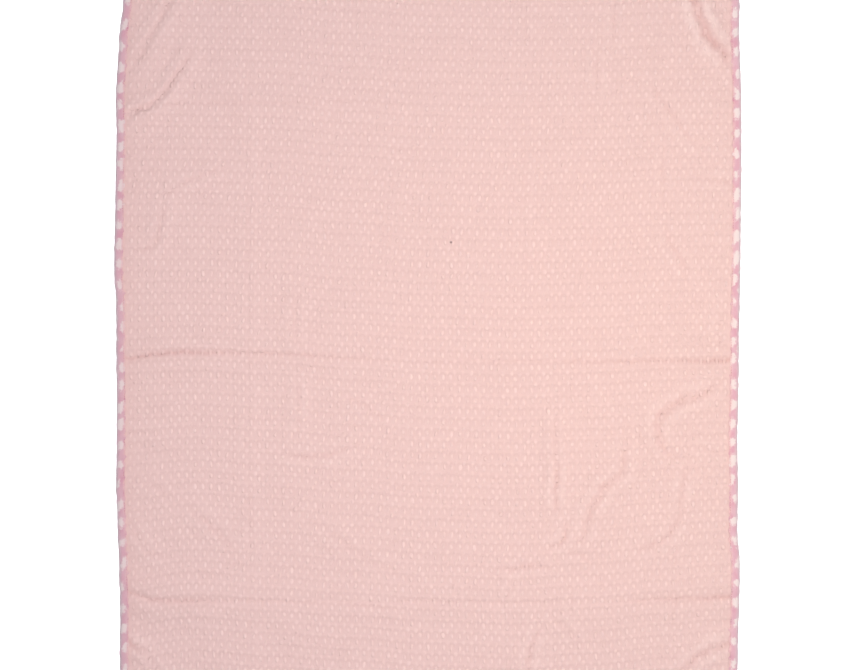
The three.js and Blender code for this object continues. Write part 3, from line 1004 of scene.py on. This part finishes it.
def tapeMaterial():
    material, tree, shader = clothMaterial("spottedTape", tape["roughness"], tape["sheen"])
    x, y = clothPlace(tree)
    spacing, spotSize = tape["spotSpacing"], tape["spotSize"]
    fromSpot = []
    for way, scale in zip(("ADD", "SUBTRACT"), tape["strayScales"]):
        exact = maths(tree, "DIVIDE", maths(tree, way, x, y), spacing * mm)
        place = maths(tree, "ADD", exact, swayed(tree, scale, 1.0, tape["spotStray"], 0))
        fromSpot.append(maths(tree, "SUBTRACT", place, maths(tree, "ROUND", place)))
    across = maths(tree, "MULTIPLY", maths(tree, "ADD", *fromSpot), spacing / spotSize[0])
    along = maths(tree, "MULTIPLY", maths(tree, "SUBTRACT", *fromSpot), spacing / spotSize[1])
    size = swayed(tree, tape["sizeScale"], 1.0, tape["spotSpread"], 1)
    ragged = swayed(tree, tape["raggedScale"], 2.0, tape["ragged"], 0)
    far = maths(tree, "ADD", farOf(tree, across, along), ragged)
    edge = maths(tree, "DIVIDE", maths(tree, "SUBTRACT", size, far), tape["spotBlur"])
    share = between(tree, maths(tree, "ADD", edge, 0.5), 0.0, 1.0)
    patches = between(tree, swayed(tree, tape["patchScale"], 2.0, 3.0, 0.3), 0.0, tape["mostDeep"])
    pink = mixColor(tree, patches, linear(*tape["pink"]), linear(*tape["deepPink"]))
    tone = mixColor(tree, share, pink, linear(*tape["spot"]))
    worn = between(tree, swayed(tree, tape["wornScale"], 3.0, 4.0, 0.7), 0.0, 1.0)
    tone = mixColor(tree, maths(tree, "MULTIPLY", worn, keptValue(tree, "seam")), tone, linear(*tape["worn"]))
    # painted shade on the tape's outer edge, where it rolls down
    rimShade = maths(tree, "MULTIPLY", keptValue(tree, "rim"), tape["rimShadeShare"])
    tone = mixColor(tree, rimShade, tone, linear(*tape["rim"]))
    # painted shade on the strip turned from the light
    tone = mixColor(tree, keptValue(tree, "dim"), tone, linear(*tape["dim"]))
    tree.links.new(tone, shader.inputs["Base Color"])
    yarnBump(tree, shader, (2600, 2600, 1200), 0.3, 0.0002)
    return material


def slowWaves(along, phase, waves):
    return sum(size * np.sin(along / length + turns * phase) for size, length, turns in waves)


def makeTape(name, halfRun, toFlat, phase, dim, material):
    outline, travelled = plyOutline(tapeSection())
    outline, travelled = outline[::-1], travelled[::-1]
    mitre = tape["width"] + 0.5
    lines = np.array([-halfRun, *spread(mitre - halfRun, halfRun - mitre, tape["step"]), halfRun])
    inwards, along = np.meshgrid(outline[:, 0], lines)
    height = np.broadcast_to(outline[:, 1], inwards.shape).copy()
    ends = np.abs(along) == halfRun
    along = np.where(ends, along - np.sign(along) * (inwards + 0.1), along)
    calm = np.clip((halfRun - np.abs(along)) / tape["endCalm"], 0, 1)
    ripple = pucker(along * 1.9 + phase)
    onTop = np.clip((height - 1.2) / 1.5, 0, 1)
    nearStitch = np.exp(-((inwards - tape["stitchLine"] + 2.2) / 3.0) ** 2)
    height = height + tape["ripple"] * ripple * onTop * nearStitch * calm
    outer = np.clip(1 - inwards / tape["width"], 0, 1)
    inwards = inwards + calm * (tape["wobble"] * pucker(along * 0.9 + phase * 2) * outer
                                + tape["innerWobble"] * pucker(along * 1.6 + phase * 5) * (1 - outer) ** 3)
    flatX, flatY = toFlat(inwards, along)
    points = lay(flatX, flatY, height)
    rows, around = inwards.shape
    index = np.arange(rows * around).reshape(rows, around)
    a, b = index[:-1], np.roll(index[:-1], -1, 1)
    c, d = np.roll(index[1:], -1, 1), index[1:]
    sides = np.stack([a, b, c, d], -1).reshape(-1, 4).tolist()
    caps = []
    half = around // 2
    for first, flip in ((0, False), ((rows - 1) * around, True)):
        for i in range(half - 1):
            quad = [first + i, first + i + 1, first + around - 2 - i, first + around - 1 - i]
            caps.append(quad if flip else quad[::-1])
    middle = np.broadcast_to(travelled, inwards.shape) - travelled.max() / 2
    across = middle + tape["firstSpot"] + slowWaves(along, phase, tape["wander"])
    up = along + slowWaves(along, phase, tape["slip"]) + phase * tape["spotShift"] + middle * tape["skew"]
    uvs = np.stack([across, up], -1)
    made = meshObject(name, points.reshape(-1, 3) * mm, sides + caps, material, uvs.reshape(-1, 2) * mm)
    # how near the outer edge a point is, for the painted rim shade
    rim = np.exp(-(np.maximum(inwards, 0) / tape["rimShadeReach"]) ** 2)
    seam = np.exp(-((tape["width"] - inwards) / tape["wornReach"]) ** 2)
    for key, values in (("rim", rim), ("seam", seam), ("dim", dim * (1 - rim))):
        keepValues(made.data, key, values)
    return made


# Stitches: Geometry Nodes lay one short thread after another along the seam

stitches = {
    "length": 2.7,
    "gap": 0.55,
    "thread": 0.55,
    "rise": 0.16,
    "pale": (232, 184, 188),
    # the thread's darker stretches: partly its own colour, partly painted seam shadow
    "deep": (196, 108, 124),
}


def stitchTree():
    tree, given, result = newTree("stitches", [
        ("Stitch Length", "Float"), ("Gap", "Float"), ("Thread", "Float"), ("Material", "Material")])
    link = tree.links.new
    toCurve = addNode(tree, "GeometryNodeMeshToCurve")
    link(given.outputs["Geometry"], toCurve.inputs[0])
    along = addNode(tree, "GeometryNodeCurveToPoints", mode="LENGTH")
    link(toCurve.outputs[0], along.inputs[0])
    link(maths(tree, "ADD", given.outputs["Stitch Length"], given.outputs["Gap"]), along.inputs["Length"])
    thread = addNode(tree, "GeometryNodeMeshUVSphere", Segments=6, Rings=4, Radius=0.5)
    stand = addNode(tree, "GeometryNodeInstanceOnPoints")
    link(along.outputs["Points"], stand.inputs["Points"])
    link(thread.outputs["Mesh"], stand.inputs["Instance"])
    link(along.outputs["Rotation"], stand.inputs["Rotation"])
    link(vectorOf(tree, given.outputs["Thread"], given.outputs["Thread"], given.outputs["Stitch Length"]),
         stand.inputs["Scale"])
    return finishTree(tree, given, result, stand.outputs[0])


def threadMaterial():
    material, tree, shader = clothMaterial("thread", 0.6, 0.1)
    # darker in stretches, partly the thread's colour and partly painted seam shadow
    patch = swayed(tree, (70, 70, 70), 4.0, 5.0, 0.3)
    tone = mixColor(tree, patch, linear(*stitches["pale"]), linear(*stitches["deep"]))
    tree.links.new(tone, shader.inputs["Base Color"])
    return material


def makeStitches(material):
    run = tape["stitchLine"]
    x = spread(run - halfWidth, halfWidth - run, 3)
    y = spread(run - halfLength, halfLength - run, 3)
    loop = [*[(a, run - halfLength) for a in x[:-1]], *[(halfWidth - run, b) for b in y[:-1]],
            *[(a, halfLength - run) for a in x[:0:-1]], *[(run - halfWidth, b) for b in y[:0:-1]]]
    flat = np.array(loop)
    height = tape["stitchHeight"] + tape["ply"] / 2 + stitches["rise"]
    points = lay(flat[:, 0], flat[:, 1], height) * mm
    edges = [(i, (i + 1) % len(points)) for i in range(len(points))]
    return grown("stitching", guideObject(points, edges), stitchTree(), {
        "Stitch Length": stitches["length"] * mm, "Gap": stitches["gap"] * mm, "Thread": stitches["thread"] * mm,
        "Material": material})


# Camera straight above, framed as the photograph: its middle lies a little above the blanket's

view = {
    "middle": (2.7, 28.1),
    "shownWidth": 1097,
    "lens": 60,
    "sensor": 36,
}


def makeCamera():
    data = bpy.data.cameras.new("camera")
    data.lens, data.sensor_width = view["lens"], view["sensor"]
    data.clip_end = 50
    camera = inScene(bpy.data.objects.new("camera", data))
    height = view["shownWidth"] * mm * view["lens"] / view["sensor"]
    camera.location = (view["middle"][0] * mm, view["middle"][1] * mm, height)
    bpy.context.scene.camera = camera


# A broad soft lamp overhead, a narrower warm one over the right half, and a faint low one from the right
lights = [
    {"name": "overhead", "place": (0.13, 0.02, 2.3), "aim": (0.13, 0.02, 0), "size": (1.5, 2.0), "spread": 140,
     "power": 33.6, "tint": (0.953, 0.951, 1.0)},
    {"name": "overRight", "place": (0.32, 0.03, 1.4), "aim": (0.32, 0.03, 0), "size": (0.7, 0.7), "spread": 60,
     "power": 0.39, "tint": (1.0, 0.8, 0.25)},
    {"name": "window", "place": (6.5, 0.4, 4.6), "aim": (0, 0, 0), "size": (2.2, 2.2), "spread": 180, "power": 50,
     "tint": (1.0, 0.97, 0.94)},
]
room = {"tint": (0.98, 0.985, 1.0), "strength": 0.165}


def makeLights():
    for light in lights:
        data = bpy.data.lights.new(light["name"], "AREA")
        data.shape = "RECTANGLE"
        (data.size, data.size_y), data.energy, data.color = light["size"], light["power"], light["tint"]
        data.spread = math.radians(light["spread"])
        lamp = inScene(bpy.data.objects.new(light["name"], data))
        lamp.location = light["place"]
        lamp.rotation_euler = (mathutils.Vector(light["aim"]) - lamp.location).to_track_quat("-Z", "Y").to_euler()
        lamp.visible_camera = False
    world = bpy.data.worlds.new("room")
    world.use_nodes = True
    background = world.node_tree.nodes["Background"]
    background.inputs["Color"].default_value = (*room["tint"], 1.0)
    background.inputs["Strength"].default_value = room["strength"]
    bpy.context.scene.world = world
    bpy.context.scene.view_settings.view_transform = "Standard"


# A lit white sweep, as in the photo. Its reach and drop are metres.
floorLook = {
    "reach": 14,
    "drop": -0.0002,
    "finish": {"Base Color": (0.8, 0.8, 0.8, 1.0), "Roughness": 0.8, "Emission Color": (1.0, 1.0, 1.0, 1.0),
               "Emission Strength": 0.75},
}


def makeFloor():
    material = bpy.data.materials.new("paleFloor")
    material.use_nodes = True
    shader = material.node_tree.nodes["Principled BSDF"]
    for key, value in floorLook["finish"].items():
        shader.inputs[key].default_value = value
    size, drop = floorLook["reach"], floorLook["drop"]
    corners = [(-size, -size, drop), (size, -size, drop), (size, size, drop), (-size, size, drop)]
    floor = meshObject("floor", corners, [(0, 1, 2, 3)], material, smooth=False)


makeCamera()
makeLights()
makeFloor()
print("camera, light and floor made")

ground = piqueMaterial("piqueGround", hollowShadeAndFleck, "hollowShade", ((900, 900, 900), 0.35, 0.0004))
tuftFinish = piqueMaterial("piqueTuft", tuftHighlightAndFleck, "tuftHighlight", ((1600, 260, 900), 0.5, 0.0005))
panel, surface = makePanel(ground)
print("panel made:", len(panel.data.polygons), "faces")

domes = tuftTree()
strongTufts = makeTufts("strong", domes, tuftFinish, surface)
weakTufts = makeTufts("weak", domes, tuftFinish, surface)
print("tufts made:", len(strongTufts.data.polygons), len(weakTufts.data.polygons), "faces")

tapeFinish = tapeMaterial()
strips = {
    "binding_left": makeTape("tapeLeft", halfLength, lambda a, s: (a - halfWidth, s), 0.4, 0.16, tapeFinish),
    "binding_right": makeTape("tapeRight", halfLength, lambda a, s: (halfWidth - a, -s), 1.7, 0.0, tapeFinish),
    "binding_top": makeTape("tapeTop", halfWidth, lambda a, s: (s, halfLength - a), 2.9, 0.0, tapeFinish),
    "binding_bottom": makeTape("tapeBottom", halfWidth, lambda a, s: (-s, a - halfLength), 4.2, 0.0, tapeFinish),
}
stitching = makeStitches(threadMaterial())
print("binding and stitches made:", len(stitching.data.polygons), "stitch faces")

for piece in (panel, strongTufts, weakTufts, stitching, *strips.values()):
    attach(piece, "root")
for node, strip in strips.items():
    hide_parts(node)
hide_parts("panel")
